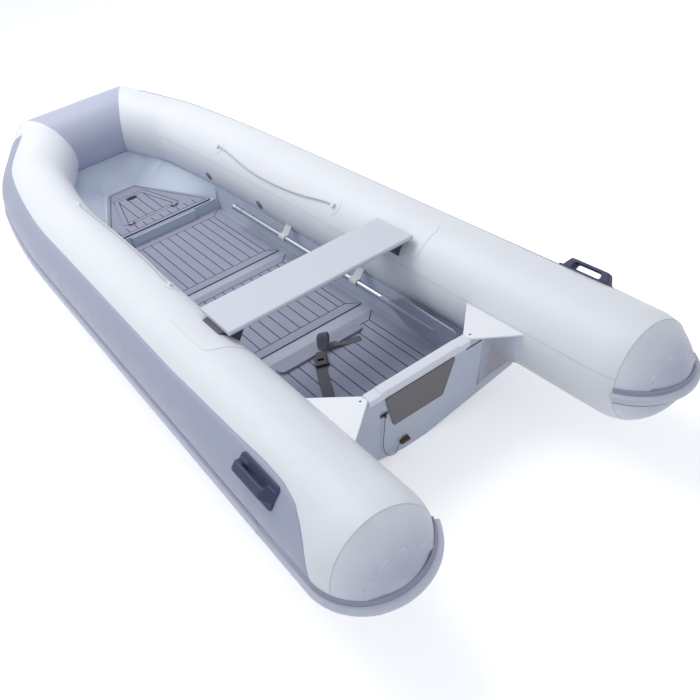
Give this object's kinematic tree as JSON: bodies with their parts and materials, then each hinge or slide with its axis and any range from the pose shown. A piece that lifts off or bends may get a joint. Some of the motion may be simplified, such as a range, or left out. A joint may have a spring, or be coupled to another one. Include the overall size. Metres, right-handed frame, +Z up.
{
  "type": "inflatable rib boat",
  "caption": "Rigid V hull with inflated side and bow tubes, decked cockpit, hinged bow locker lid, thwart seat, stowed oars and a raked engine transom",
  "frame": {"origin": "under the keel on the centre plane, half way along the boat", "axes": "+X to starboard, +Y to the bow, +Z up"},
  "size_m": [1.6734, 4.5764, 0.7532],
  "materials": {
    "tube_fabric": "satin coated fabric, bluish white",
    "bow_fabric": "satin coated fabric, lavender grey",
    "cone_fabric": "satin coated fabric, grey white",
    "strake_rubber": "dark navy rubber with a light bead",
    "hull_gelcoat": "gelcoat over glass fibre, pale blue grey",
    "deck_gelcoat": "gelcoat, pale grey",
    "deck_foam": "closed-cell foam planks, lavender grey, dark seams",
    "transom_board": "painted composite board, pale blue grey",
    "cap_metal": "bright satin aluminium",
    "engine_pad": "dark brown grey board",
    "knee_paint": "white powder coat",
    "locker_gelcoat": "gelcoat, pale grey",
    "hinge_metal": "dark brushed steel",
    "pull_plastic": "black nylon",
    "seat_board": "light grey board",
    "bracket_rubber": "dark moulded rubber",
    "patch_fabric": "coated fabric patch",
    "oar_metal": "anodised tube",
    "oar_plastic": "grey lavender moulding",
    "webbing": "white webbing",
    "rope_cord": "white braid",
    "valve_plastic": "grey nylon",
    "handle_rubber": "slate moulded rubber",
    "stop_plastic": "grey moulded plastic",
    "strap_webbing": "dark grey webbing",
    "steel": "stainless steel"
  },
  "bodies": {
    "boat": {"tube_starboard": "tube_fabric", "tube_port": "tube_fabric", "tube_bow": "bow_fabric", "cone_starboard": "cone_fabric", "cone_port": "cone_fabric", "strake_starboard": "strake_rubber", "strake_port": "strake_rubber", "strake_bow": "strake_rubber", "hull_shell": "hull_gelcoat", "transom": "transom_board", "transom_cap": "cap_metal", "transom_pad_outer": "engine_pad", "transom_pad_inner": "engine_pad", "knee_starboard": "knee_paint", "knee_port": "knee_paint", "wing_starboard": "knee_paint", "wing_port": "knee_paint", "deck_plate": "deck_gelcoat", "deck_pad_aft": "deck_foam", "deck_pad_middle": "deck_foam", "deck_pad_forward": "deck_foam", "bow_locker": "locker_gelcoat", "locker_pad": "deck_foam", "hinge_base": "hinge_metal", "seat_board": "seat_board", "seat_bracket_starboard": "bracket_rubber", "seat_bracket_port": "bracket_rubber", "seat_patches": "patch_fabric", "oar_shaft_starboard": "oar_metal", "oar_shaft_port": "oar_metal", "oar_blade_starboard": "oar_plastic", "oar_blade_port": "oar_plastic", "oar_holders": "webbing", "rope_patches": "patch_fabric", "rope_starboard": "rope_cord", "rope_port": "rope_cord", "valves": "valve_plastic", "handle_starboard": "handle_rubber", "handle_port": "handle_rubber", "bow_handle": "handle_rubber", "tank_stop": "stop_plastic", "tank_strap": "strap_webbing", "tank_buckle": "pull_plastic", "drain_plug": "stop_plastic", "lanyard_eye": "steel", "drain_lanyard": "rope_cord", "tow_eye": "steel"},
    "lid": {"locker_lid": "locker_gelcoat", "lid_pad": "deck_foam", "hinge_leaf": "hinge_metal", "lid_pull": "pull_plastic"}
  },
  "joints": [
    {"name": "lid_hinge", "type": "hinge", "parent": "boat", "child": "lid", "pos_m": [0, 1.1713, 0.2055], "axis": [1, 0, 0], "range_deg": [0, 105]}
  ]
}
